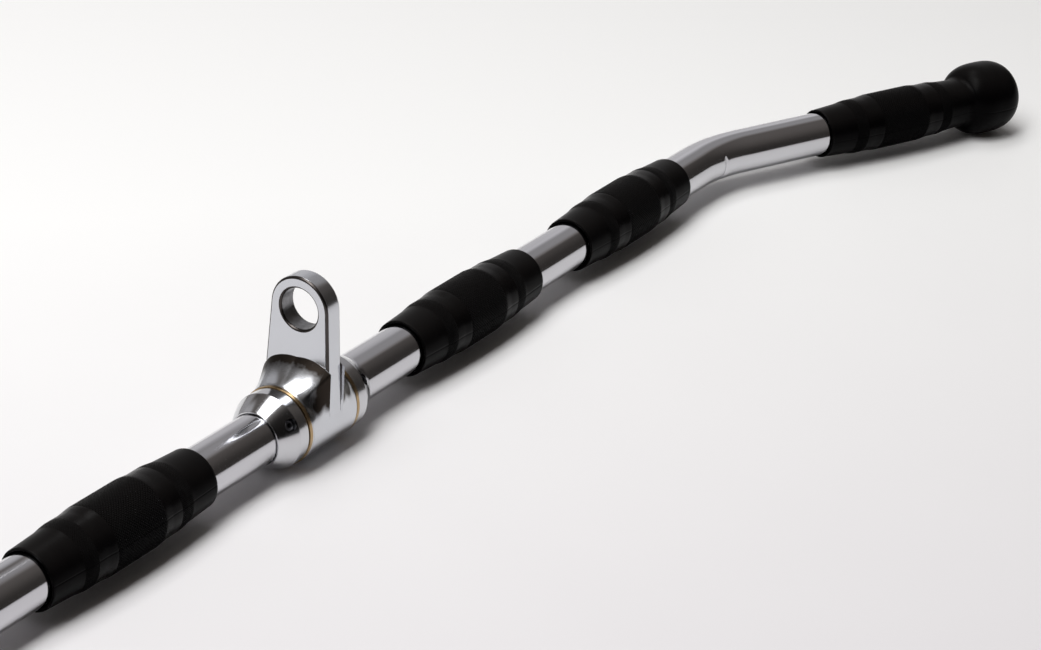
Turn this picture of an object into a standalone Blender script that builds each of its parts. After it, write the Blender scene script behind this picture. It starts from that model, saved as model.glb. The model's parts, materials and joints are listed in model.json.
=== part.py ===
"""Lat pulldown bar with a revolving eye, lying on the floor.

The straight middle of the bar runs along X. Its bent arms lean towards -Y and
rest on their round knobs, and the hanger's eye stands up in the middle.
Units are metres. Z = 0 is the floor, and X = Y = 0 is the middle of the
object's outer box. Left is -X and right is +X.
"""
import math

import bmesh
import bpy
from mathutils import Matrix, Vector

# Clearance between pieces that touch
GAP = 0.0003

# Bar tube
TUBE_DIAMETER = 0.025
TUBE_WALL = 0.0025
BEND_ANGLE = math.radians(23.6)
BEND_RADIUS = 0.100

# Hanger casting: barrel, flare and eye plate
BUSHING_WALL = 0.0024
BARREL_WALL = 0.0038
BARREL_LENGTH = 0.0344
BARREL_CHAMFER = 0.0005
FLARE_RISE = 0.0105
FLARE_POWER = 1.25
FLARE_CROWN = 0.003
FLARE_SPREAD = math.radians(52.0)
FLARE_FALL = 5.0
PLATE_THICKNESS = 0.0105
PLATE_EDGE_ROUND = 0.0013
PLATE_EDGE_STEPS = 3
EYE_DIAMETER = 0.020
EYE_RIM = 0.00575
EYE_ABOVE_BARREL = 0.0343

# Bushings inside the barrel and washers at its ends
BUSHING_SPACE = 0.0012
WASHER_THICKNESS = 0.0019
WASHER_INSET = 0.0001

# Collars with a tapering nose and their set screws
COLLAR_WALL = 0.0059
COLLAR_BAND = 0.0066
COLLAR_STEP = 0.0002
NOSE_LENGTH = 0.0098
NOSE_WALL = 0.0006
NOSE_START = math.radians(24.0)
NOSE_END = math.radians(37.0)
SCREW_DIAMETER = 0.005
SCREW_PLACE = 0.0092
SCREW_ANGLE = math.radians(59.0)
SCREW_SUNK = 0.0024
SOCKET_ACROSS = 0.0025
SOCKET_DEPTH = 0.0018

# Rubber sleeves on the straight part: thickness over the tube, zone by zone
SLEEVE_LENGTH = 0.1088
CUFF_LENGTH = 0.0199
BAND_LENGTH = 0.0162
RIM_RUBBER = 0.0019
CUFF_RUBBER = 0.00275
BAND_RUBBER = 0.0037
CENTRE_RUBBER = 0.00445
ZONE_RAMP = 0.0078
RUBBER_EDGE = 0.0004

# Rubber end grips with a knob in one moulding
END_SLEEVE_LENGTH = 0.1118
END_THINNER = 0.0003
NECK_RUBBER = 0.0018
KNOB_RUBBER = 0.00915
KNOB_LENGTH = 0.0417
KNOB_SQUARENESS = 2.93
KNOB_OVER_CUFF = 0.0033
NECK_FILLET = 0.003
KNOB_CAP = 0.020

# Plugs in the tube's ends
PLUG_LENGTH = 0.014
PLUG_HEAD = 0.002

# Spaces along the bar
COLLAR_TO_SLEEVE = 0.0457
SLEEVE_SPACE = 0.0492
SLEEVE_TO_BEND = 0.0280
BEND_TO_END_GRIP = 0.0597

# Fineness of round shapes
SIDES = 28
WASHER_SIDES = 40
FLARE_TOP = math.radians(70.0)
FLARE_TOP_SIDES = 28
FLARE_LOW_SIDES = 20
FLARE_STEPS = 8
CROWN_STEPS = 2
BEND_STEPS = 8
NOSE_STEPS = 4
KNOB_STEPS = 8
FILLET_STEPS = 3
EYE_SIDES = 32

# Sizes that follow from the ones above
TUBE_RADIUS = TUBE_DIAMETER / 2
FIT_RADIUS = TUBE_RADIUS + GAP
BARREL_BORE = FIT_RADIUS + BUSHING_WALL + GAP
BARREL_RADIUS = BARREL_BORE + BARREL_WALL
FLARE_SPAN = BARREL_LENGTH / 2 - PLATE_THICKNESS / 2
EYE_HEIGHT = BARREL_RADIUS + EYE_ABOVE_BARREL
HEAD_RADIUS = EYE_DIAMETER / 2 + EYE_RIM
SIDE_TAPER = math.asin((BARREL_RADIUS - HEAD_RADIUS) / EYE_HEIGHT)
COLLAR_RADIUS = FIT_RADIUS + COLLAR_WALL
COLLAR_LENGTH = COLLAR_BAND + COLLAR_STEP + NOSE_LENGTH
SCREW_RADIUS = SCREW_DIAMETER / 2
SCREW_LENGTH = COLLAR_WALL - SCREW_SUNK
KNOB_RADIUS = TUBE_RADIUS + KNOB_RUBBER
NECK_RADIUS = TUBE_RADIUS + NECK_RUBBER
KNOB_START = END_SLEEVE_LENGTH - KNOB_OVER_CUFF
KNOB_CENTRE = KNOB_START + KNOB_LENGTH / 2
TUBE_END = KNOB_START + KNOB_LENGTH - KNOB_CAP
WASHER_PLACE = BARREL_LENGTH / 2 + GAP
COLLAR_PLACE = WASHER_PLACE + WASHER_THICKNESS + GAP
INNER_PLACE = COLLAR_PLACE + COLLAR_LENGTH + COLLAR_TO_SLEEVE
OUTER_PLACE = INNER_PLACE + SLEEVE_LENGTH + SLEEVE_SPACE
BEND_START = OUTER_PLACE + SLEEVE_LENGTH + SLEEVE_TO_BEND
BEND_TANGENT = BEND_RADIUS * math.tan(BEND_ANGLE / 2)
CORNER_PLACE = BEND_START + BEND_TANGENT
CORNER_TO_GRIP = BEND_TANGENT + BEND_TO_END_GRIP
LEAN = math.sin(BEND_ANGLE)
LIE_TILT = math.asin((KNOB_RADIUS - BARREL_RADIUS) / ((CORNER_TO_GRIP + KNOB_CENTRE) * LEAN))


def knob_outline():
    """Radius and distance from the knob's middle along its full, slightly squared side."""
    points = []
    for step in range(1, 2 * KNOB_STEPS):
        turn = math.pi * step / (2 * KNOB_STEPS)
        across = math.sin(turn)
        along = math.cos(turn)
        size = (across ** KNOB_SQUARENESS + abs(along) ** KNOB_SQUARENESS) ** (-1 / KNOB_SQUARENESS)
        points.append((KNOB_RADIUS * across * size, KNOB_LENGTH / 2 * along * size))
    return points


def knob_reach():
    """How far the knobs reach towards -Y from the axis of the bar's straight part."""
    along_y = LEAN * math.cos(LIE_TILT)
    across_y = math.sqrt(1 - along_y ** 2)
    middle = CORNER_TO_GRIP + KNOB_CENTRE
    return max(along_y * (middle + along) + across_y * radius for radius, along in knob_outline())


def flare_share(turn):
    """How much of the flare's rise is left at an angle from the top: all above, none below."""
    bottom = 1 / (1 + (math.pi / FLARE_SPREAD) ** FLARE_FALL)
    here = 1 / (1 + (abs(turn) / FLARE_SPREAD) ** FLARE_FALL)
    return (here - bottom) / (1 - bottom)


def flare_rise(place):
    """Rise of the flare's top at a distance from the hanger's middle, with a rounded crest."""
    if place < FLARE_CROWN:
        place = (FLARE_CROWN + place ** 2 / FLARE_CROWN) / 2
    return FLARE_RISE * ((BARREL_LENGTH / 2 - place) / FLARE_SPAN) ** FLARE_POWER


def barrel_ring(radius, rise):
    """Outline of one section of the barrel and its flare, as places across and up."""
    turns = [FLARE_TOP * (2 * step / FLARE_TOP_SIDES - 1) for step in range(FLARE_TOP_SIDES + 1)]
    rest = 2 * (math.pi - FLARE_TOP)
    turns += [FLARE_TOP + rest * step / FLARE_LOW_SIDES for step in range(1, FLARE_LOW_SIDES)]
    points = []
    for turn in turns:
        reach = radius + rise * flare_share(math.remainder(turn, 2 * math.pi))
        points.append((reach * math.sin(turn), reach * math.cos(turn)))
    return points


BAR_Y = (knob_reach() - max(across for across, up in barrel_ring(BARREL_RADIUS, flare_rise(0.0)))) / 2


def arm_direction(side):
    """Direction of the bent arm on one side, in the bar's own plane."""
    return Vector((side * math.cos(BEND_ANGLE), -LEAN, 0.0))


def arm_point(side, distance):
    """Point on the arm's centre line, this far past the corner where the straight lines meet."""
    return Vector((side * CORNER_PLACE, 0.0, 0.0)) + arm_direction(side) * distance


def clear_scene():
    """Remove everything that the file opened with."""
    for obj in list(bpy.data.objects):
        bpy.data.objects.remove(obj, do_unlink=True)


def new_collection(name):
    """A collection linked to the scene."""
    collection = bpy.data.collections.new(name)
    bpy.context.scene.collection.children.link(collection)
    return collection


def make_material(name, colour, metallic, roughness):
    """A plain material in one colour."""
    material = bpy.data.materials.new(name)
    material.use_nodes = True
    shader = material.node_tree.nodes["Principled BSDF"]
    shader.inputs["Base Color"].default_value = (*colour, 1.0)
    shader.inputs["Metallic"].default_value = metallic
    shader.inputs["Roughness"].default_value = roughness
    material.diffuse_color = (*colour, 1.0)
    return material


def new_object(name, data):
    """An object in the parts' collection."""
    obj = bpy.data.objects.new(name, data)
    PARTS.objects.link(obj)
    return obj


def bake(obj):
    """Replace a curve or an object with modifiers by the mesh that it shows."""
    bpy.context.view_layer.update()
    graph = bpy.context.evaluated_depsgraph_get()
    mesh = bpy.data.meshes.new_from_object(obj.evaluated_get(graph))
    name = obj.name
    place = obj.matrix_world.copy()
    bpy.data.objects.remove(obj, do_unlink=True)
    baked = new_object(name, mesh)
    baked.matrix_world = place
    return baked


def weld(obj):
    """Join points that lie on each other and turn all faces outwards."""
    work = bmesh.new()
    work.from_mesh(obj.data)
    bmesh.ops.remove_doubles(work, verts=work.verts, dist=1e-6)
    bmesh.ops.recalc_face_normals(work, faces=work.faces)
    work.to_mesh(obj.data)
    work.free()


def turn_to(obj, direction, location):
    """Lay a turned piece's axis along a direction, with its foot at a location."""
    obj.rotation_euler = Vector(direction).to_track_quat("Z", "Y").to_euler()
    obj.location = location


def turned(name, outline, closed=False, sides=SIDES):
    """Spin an outline of (radius, height) about Z; its outer side runs from top to bottom."""
    mesh = bpy.data.meshes.new(name)
    edges = [(index, index + 1) for index in range(len(outline) - 1)]
    if closed:
        edges.append((len(outline) - 1, 0))
    mesh.from_pydata([(radius, 0.0, height) for radius, height in outline], edges, [])
    obj = new_object(name, mesh)
    spin = obj.modifiers.new("spin", "SCREW")
    spin.steps = sides
    spin.render_steps = sides
    spin.use_merge_vertices = True
    spin.merge_threshold = 1e-5
    return bake(obj)


def combine(obj, tool, operation):
    """Join or cut an object with a tool mesh, which goes to the cutters' collection."""
    PARTS.objects.unlink(tool)
    CUTTERS.objects.link(tool)
    tool.hide_render = True
    tool.display_type = "WIRE"
    step = obj.modifiers.new(operation.lower(), "BOOLEAN")
    step.operation = operation
    step.solver = "EXACT"
    step.object = tool


def finish(obj, parent, material):
    """Give a finished piece its shading, its material and the frame that carries it."""
    if obj.modifiers:
        obj = bake(obj)
    obj.data.materials.clear()
    obj.data.materials.append(material)
    obj.data.shade_smooth()
    obj.data.set_sharp_from_angle(angle=math.radians(32))
    obj.parent = parent


def bar_path():
    """Centre line of the tube from its left end to its right end."""
    right = [Vector((BEND_START, 0.0, 0.0))]
    for step in range(1, BEND_STEPS + 1):
        turn = BEND_ANGLE * step / BEND_STEPS
        along = BEND_START + BEND_RADIUS * math.sin(turn)
        right.append(Vector((along, -BEND_RADIUS * (1 - math.cos(turn)), 0.0)))
    right.append(arm_point(1, CORNER_TO_GRIP + TUBE_END))
    left = [Vector((-point.x, point.y, point.z)) for point in reversed(right)]
    return left + right


def build_tube(parent):
    """The steel tube, bent once on each side and open at both ends."""
    path = bar_path()
    curve = bpy.data.curves.new("bar_tube", "CURVE")
    curve.dimensions = "3D"
    curve.bevel_depth = TUBE_RADIUS
    curve.bevel_resolution = SIDES // 2 - 2
    spline = curve.splines.new("POLY")
    spline.points.add(len(path) - 1)
    for point, place in zip(spline.points, path):
        point.co = (*place, 1.0)
    obj = bake(new_object("bar_tube", curve))
    weld(obj)
    wall = obj.modifiers.new("wall", "SOLIDIFY")
    wall.thickness = TUBE_WALL
    wall.offset = -1.0
    wall.use_even_offset = True
    finish(obj, parent, STEEL)


def grip_outline(length, thinner):
    """Outside of a grip from its near face upwards: widening cuff, band, centre, band, cuff."""
    rim = TUBE_RADIUS + RIM_RUBBER - thinner
    cuff = TUBE_RADIUS + CUFF_RUBBER - thinner
    band = TUBE_RADIUS + BAND_RUBBER - thinner
    centre = TUBE_RADIUS + CENTRE_RUBBER - thinner
    half_ramp = ZONE_RAMP / 2
    first = CUFF_LENGTH
    second = CUFF_LENGTH + BAND_LENGTH
    lower = [
        (rim - RUBBER_EDGE, 0.0), (rim, RUBBER_EDGE * 2),
        (cuff, first - half_ramp), (band, first + half_ramp),
        (band, second - half_ramp), (centre, second + half_ramp),
    ]
    return lower + [(radius, length - height) for radius, height in reversed(lower)]


def build_sleeves(parent):
    """Two rubber sleeves on each side of the hanger."""
    outline = grip_outline(SLEEVE_LENGTH, 0.0)
    outline.reverse()
    outline += [(FIT_RADIUS, 0.0), (FIT_RADIUS, SLEEVE_LENGTH)]
    for place_name, place in (("inner", INNER_PLACE), ("outer", OUTER_PLACE)):
        for side_name, side in SIDE_NAMES:
            obj = turned(f"grip_{place_name}_{side_name}", outline, closed=True)
            turn_to(obj, (side, 0, 0), (side * place, 0, 0))
            finish(obj, parent, RUBBER)


def fillet_and_knob():
    """Fillet and knob of an end grip from its neck upwards, up to the knob's top."""
    knob = [(radius, KNOB_CENTRE + height) for radius, height in reversed(knob_outline())]
    share = (1 - (NECK_RADIUS / KNOB_RADIUS) ** KNOB_SQUARENESS) ** (1 / KNOB_SQUARENESS)
    corner = Vector((NECK_RADIUS, KNOB_CENTRE - KNOB_LENGTH / 2 * share))
    foot = corner - Vector((0.0, NECK_FILLET))
    end = corner.y + NECK_FILLET / 2
    share = (KNOB_CENTRE - end) / (KNOB_LENGTH / 2)
    join = Vector((KNOB_RADIUS * (1 - share ** KNOB_SQUARENESS) ** (1 / KNOB_SQUARENESS), end))
    points = [tuple(foot)]
    for step in range(1, FILLET_STEPS + 1):
        share = step / FILLET_STEPS
        near = foot.lerp(corner, share)
        far = corner.lerp(join, share)
        points.append(tuple(near.lerp(far, share)))
    full = [(radius, height) for radius, height in knob if height > end]
    return points + full + [(0.0, KNOB_CENTRE + KNOB_LENGTH / 2)]


def build_end_grips(parent):
    """The end grips: a sleeve whose last cuff runs into a full knob, with a blind bore for the tube."""
    outline = grip_outline(END_SLEEVE_LENGTH, END_THINNER)[:-2] + fillet_and_knob()
    outline.reverse()
    bottom = TUBE_END + PLUG_HEAD + 2 * GAP
    outline += [(FIT_RADIUS, 0.0), (FIT_RADIUS, bottom), (0.0, bottom)]
    for side_name, side in SIDE_NAMES:
        obj = turned(f"end_grip_{side_name}", outline)
        turn_to(obj, arm_direction(side), arm_point(side, CORNER_TO_GRIP))
        finish(obj, parent, RUBBER)


def build_end_plugs(parent):
    """Plugs that close the tube's ends inside the knobs."""
    body_radius = TUBE_RADIUS - TUBE_WALL - GAP
    outline = [
        (0.0, GAP + PLUG_HEAD), (TUBE_RADIUS, GAP + PLUG_HEAD), (TUBE_RADIUS, GAP),
        (body_radius, GAP), (body_radius, -PLUG_LENGTH), (0.0, -PLUG_LENGTH),
    ]
    for side_name, side in SIDE_NAMES:
        obj = turned(f"end_plug_{side_name}", outline)
        turn_to(obj, arm_direction(side), arm_point(side, CORNER_TO_GRIP + TUBE_END))
        finish(obj, parent, PLASTIC)


def build_washers(parent):
    """Thin brass rings between the hanger and the collars."""
    radius = BARREL_RADIUS - WASHER_INSET
    outline = [
        (radius, WASHER_THICKNESS), (radius, 0.0), (FIT_RADIUS, 0.0), (FIT_RADIUS, WASHER_THICKNESS),
    ]
    for side_name, side in SIDE_NAMES:
        obj = turned(f"washer_{side_name}", outline, closed=True, sides=WASHER_SIDES)
        turn_to(obj, (side, 0, 0), (side * WASHER_PLACE, 0, 0))
        finish(obj, parent, BRASS)


def collar_outline():
    """The collar's outside: a plain band at the washer, then a slightly full nose down to the tube."""
    radius = COLLAR_RADIUS - COLLAR_STEP
    fall = radius - FIT_RADIUS - NOSE_WALL
    start = COLLAR_BAND + COLLAR_STEP
    points = [(radius, 0.0), (COLLAR_RADIUS, COLLAR_STEP), (COLLAR_RADIUS, COLLAR_BAND)]
    for step in range(NOSE_STEPS + 1):
        turn = NOSE_START + (NOSE_END - NOSE_START) * step / NOSE_STEPS
        drop = (math.cos(NOSE_START) - math.cos(turn)) / (math.cos(NOSE_START) - math.cos(NOSE_END))
        along = (math.sin(turn) - math.sin(NOSE_START)) / (math.sin(NOSE_END) - math.sin(NOSE_START))
        points.append((radius - fall * drop, start + NOSE_LENGTH * along))
    return points


def screw_direction():
    """Direction square to the bar along which a set screw points outwards."""
    return Vector((0.0, -math.sin(SCREW_ANGLE), math.cos(SCREW_ANGLE)))


def build_collars(parent):
    """Collars with a tapering nose, each drilled for its set screw."""
    outline = collar_outline()
    outline.reverse()
    outline += [(FIT_RADIUS, 0.0), (FIT_RADIUS, COLLAR_LENGTH)]
    hole_radius = SCREW_RADIUS + GAP
    hole_outline = [
        (0.0, 2 * COLLAR_RADIUS), (hole_radius, 2 * COLLAR_RADIUS),
        (hole_radius, TUBE_RADIUS / 2), (0.0, TUBE_RADIUS / 2),
    ]
    for side_name, side in SIDE_NAMES:
        obj = turned(f"collar_{side_name}", outline, closed=True)
        turn_to(obj, (side, 0, 0), (side * COLLAR_PLACE, 0, 0))
        hole = turned(f"screw_hole_{side_name}", hole_outline, sides=SIDES // 2)
        turn_to(hole, screw_direction(), (side * (COLLAR_PLACE + SCREW_PLACE), 0, 0))
        combine(obj, hole, "DIFFERENCE")
        finish(obj, parent, CHROME)


def build_set_screws(parent):
    """Set screws with a hexagon socket, seated on the tube and sunk in the collars."""
    outline = [
        (0.0, SCREW_LENGTH), (SCREW_RADIUS - GAP, SCREW_LENGTH), (SCREW_RADIUS, SCREW_LENGTH - GAP),
        (SCREW_RADIUS, GAP), (SCREW_RADIUS - GAP, 0.0), (0.0, 0.0),
    ]
    corner = SOCKET_ACROSS / math.sqrt(3)
    socket_outline = [
        (0.0, SCREW_LENGTH + SOCKET_DEPTH), (corner, SCREW_LENGTH + SOCKET_DEPTH),
        (corner, SCREW_LENGTH - SOCKET_DEPTH), (0.0, SCREW_LENGTH - SOCKET_DEPTH),
    ]
    for side_name, side in SIDE_NAMES:
        place = screw_direction() * FIT_RADIUS + Vector((side * (COLLAR_PLACE + SCREW_PLACE), 0, 0))
        obj = turned(f"set_screw_{side_name}", outline, sides=SIDES // 2)
        socket = turned(f"socket_{side_name}", socket_outline, sides=6)
        for piece in (obj, socket):
            turn_to(piece, screw_direction(), place)
        combine(obj, socket, "DIFFERENCE")
        finish(obj, parent, BLACK_STEEL)


def barrel_sections():
    """Place along X, radius and flare rise of each section of the hanger's barrel."""
    half = BARREL_LENGTH / 2
    left = [(-half, BARREL_RADIUS - BARREL_CHAMFER, 0.0), (-half + BARREL_CHAMFER, BARREL_RADIUS, 0.0)]
    for step in range(1, FLARE_STEPS + 1):
        place = half - (half - FLARE_CROWN) * step / FLARE_STEPS
        left.append((-place, BARREL_RADIUS, flare_rise(place)))
    for step in range(1, CROWN_STEPS):
        place = FLARE_CROWN * (1 - step / CROWN_STEPS)
        left.append((-place, BARREL_RADIUS, flare_rise(place)))
    right = [(-place, radius, rise) for place, radius, rise in reversed(left)]
    return left + [(0.0, BARREL_RADIUS, flare_rise(0.0))] + right


def build_barrel():
    """The casting's barrel: round at both ends, rising in the middle to carry the plate."""
    work = bmesh.new()
    rings = []
    for place, radius, rise in barrel_sections():
        rings.append([work.verts.new((place, across, up)) for across, up in barrel_ring(radius, rise)])
    for near, far in zip(rings, rings[1:]):
        for index, corner in enumerate(near):
            before = index - 1
            work.faces.new((near[before], corner, far[index], far[before]))
    work.faces.new(rings[0])
    work.faces.new(rings[-1])
    bmesh.ops.recalc_face_normals(work, faces=work.faces)
    mesh = bpy.data.meshes.new("hanger_body")
    work.to_mesh(mesh)
    work.free()
    return new_object("hanger_body", mesh)


def arc(centre, radius, start, end, steps):
    """Points on an arc from one angle to another, both ends included."""
    points = []
    for step in range(steps + 1):
        turn = start + (end - start) * step / steps
        points.append((centre[0] + radius * math.cos(turn), centre[1] + radius * math.sin(turn)))
    return points


def plate_outline():
    """Outline of the eye plate: a round head, tapering sides and a round foot inside the barrel."""
    head = arc((0.0, EYE_HEIGHT), HEAD_RADIUS, SIDE_TAPER, math.pi - SIDE_TAPER, 18)
    foot = arc((0.0, 0.0), BARREL_RADIUS - GAP, math.pi - SIDE_TAPER, 2 * math.pi + SIDE_TAPER, 16)
    return head + foot


def build_plate():
    """The flat eye plate with rounded edges, standing square to the bar."""
    curve = bpy.data.curves.new("plate", "CURVE")
    curve.dimensions = "2D"
    curve.fill_mode = "BOTH"
    curve.extrude = PLATE_THICKNESS / 2 - PLATE_EDGE_ROUND
    curve.bevel_depth = PLATE_EDGE_ROUND
    curve.bevel_resolution = PLATE_EDGE_STEPS - 2
    curve.offset = -PLATE_EDGE_ROUND
    eye = arc((0.0, EYE_HEIGHT), EYE_DIAMETER / 2, 2 * math.pi, 0.0, EYE_SIDES)[:-1]
    for outline in (plate_outline(), eye):
        spline = curve.splines.new("POLY")
        spline.points.add(len(outline) - 1)
        for point, (across, up) in zip(spline.points, outline):
            point.co = (across, up, 0.0, 1.0)
        spline.use_cyclic_u = True
    obj = bake(new_object("plate", curve))
    weld(obj)
    obj.matrix_world = Matrix(((0, 0, 1, 0), (1, 0, 0, 0), (0, 1, 0, 0), (0, 0, 0, 1)))
    return obj


def build_hanger(parent):
    """The hanger casting, bored for its bushings."""
    obj = build_barrel()
    combine(obj, build_plate(), "UNION")
    bore = turned("barrel_bore", [
        (0.0, BARREL_LENGTH), (BARREL_BORE, BARREL_LENGTH),
        (BARREL_BORE, -BARREL_LENGTH), (0.0, -BARREL_LENGTH),
    ])
    turn_to(bore, (1, 0, 0), (0, 0, 0))
    combine(obj, bore, "DIFFERENCE")
    finish(obj, parent, CHROME)


def build_bushings(parent):
    """Plain bushings at both ends of the barrel, with a space between them."""
    length = (BARREL_LENGTH - BUSHING_SPACE) / 2 - GAP
    radius = FIT_RADIUS + BUSHING_WALL
    outline = [(radius, length), (radius, 0.0), (FIT_RADIUS, 0.0), (FIT_RADIUS, length)]
    for side_name, side in SIDE_NAMES:
        obj = turned(f"bushing_{side_name}", outline, closed=True)
        turn_to(obj, (side, 0, 0), (side * BUSHING_SPACE / 2, 0, 0))
        finish(obj, parent, BRASS)


def build_all():
    """Build every piece under the bar's own frame or the hanger's axis."""
    bar = new_object("bar_frame", None)
    hanger = new_object("hanger_axis", None)
    for frame in (bar, hanger):
        frame.location = (0.0, BAR_Y, BARREL_RADIUS)
    bar.rotation_euler = (-LIE_TILT, 0.0, 0.0)
    build_tube(bar)
    build_sleeves(bar)
    build_end_grips(bar)
    build_end_plugs(bar)
    build_washers(bar)
    build_collars(bar)
    build_set_screws(bar)
    build_hanger(hanger)
    build_bushings(hanger)
    bpy.context.view_layer.update()


clear_scene()
SIDE_NAMES = (("left", -1), ("right", 1))
PARTS = new_collection("lat_pulldown_bar")
CUTTERS = new_collection("cutters")
STEEL = make_material("tube_chrome", (0.78, 0.79, 0.80), 1.0, 0.10)
CHROME = make_material("cast_chrome", (0.74, 0.75, 0.77), 1.0, 0.14)
BRASS = make_material("brass", (0.62, 0.47, 0.26), 1.0, 0.30)
RUBBER = make_material("rubber", (0.015, 0.015, 0.018), 0.0, 0.55)
PLASTIC = make_material("plug_plastic", (0.05, 0.05, 0.05), 0.0, 0.5)
BLACK_STEEL = make_material("black_steel", (0.06, 0.06, 0.065), 1.0, 0.40)
build_all()
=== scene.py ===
"""Looks of a lat pulldown bar with a revolving eye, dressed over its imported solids.

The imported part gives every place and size. This file rebuilds each visible piece
finely, gives it its finish, and sets the studio, the lamps and the camera. Units are
metres. Left is -X and right is +X.
"""

import json
import logging
import math
from dataclasses import dataclass, field
from enum import Enum

import bmesh
import bpy
from mathutils import Matrix, Vector

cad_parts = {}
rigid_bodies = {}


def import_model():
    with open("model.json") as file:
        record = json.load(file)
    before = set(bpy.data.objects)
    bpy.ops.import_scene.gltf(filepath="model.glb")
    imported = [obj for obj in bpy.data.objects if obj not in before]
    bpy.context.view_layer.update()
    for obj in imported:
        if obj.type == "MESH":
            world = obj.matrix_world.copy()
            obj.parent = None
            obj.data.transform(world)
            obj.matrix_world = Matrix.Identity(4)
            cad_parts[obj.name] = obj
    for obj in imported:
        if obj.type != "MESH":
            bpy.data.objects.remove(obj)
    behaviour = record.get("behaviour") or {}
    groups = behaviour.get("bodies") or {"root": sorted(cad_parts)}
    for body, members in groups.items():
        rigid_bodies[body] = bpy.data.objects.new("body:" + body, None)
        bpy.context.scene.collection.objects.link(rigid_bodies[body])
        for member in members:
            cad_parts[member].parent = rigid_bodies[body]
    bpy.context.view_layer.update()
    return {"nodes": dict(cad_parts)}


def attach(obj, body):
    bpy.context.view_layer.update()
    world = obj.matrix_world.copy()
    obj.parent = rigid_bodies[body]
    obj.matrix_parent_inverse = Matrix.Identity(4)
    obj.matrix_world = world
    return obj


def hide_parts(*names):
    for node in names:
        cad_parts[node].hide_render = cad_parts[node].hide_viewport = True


LOG = logging.getLogger("pulldown_bar")
Point2 = tuple[float, float]
Point3 = tuple[float, float, float]
Colour = tuple[float, float, float]
Node = bpy.types.Node
Socket = bpy.types.NodeSocket
Material = bpy.types.Material
Piece = bpy.types.Object
Ring = list[bmesh.types.BMVert]

FULL_TURN = 2 * math.pi
SHARP_ANGLE = math.radians(30.0)


class Side(Enum):
    """The two mirrored halves of the bar."""

    LEFT = -1
    RIGHT = 1

    @property
    def word(self) -> str:
        """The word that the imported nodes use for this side."""
        return self.name.lower()

    @property
    def ahead(self) -> Vector:
        """Direction along the straight bar towards this side."""
        return Vector((self.value, 0.0, 0.0))


class Zone(Enum):
    """Surface zones of a rubber grip, numbered as its material slots."""

    CUFF = 0
    KNURL = 1
    GLOSS = 2
    FINE = 3
    FACE = 4


class Measure(Enum):
    """What the painted shade on the hanger goes by, in the hanger's own frame."""

    ASIDE = "distance from the middle of the eye plate"
    ACROSS = "place from front to back"
    UP = "height over the bar's axis"
    RADIUS = "distance from the bar's axis"
    SLANTED = "height that counts more the further it is from the plate"


# ---------------------------------------------------------------------------
# Finishes
# ---------------------------------------------------------------------------


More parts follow.
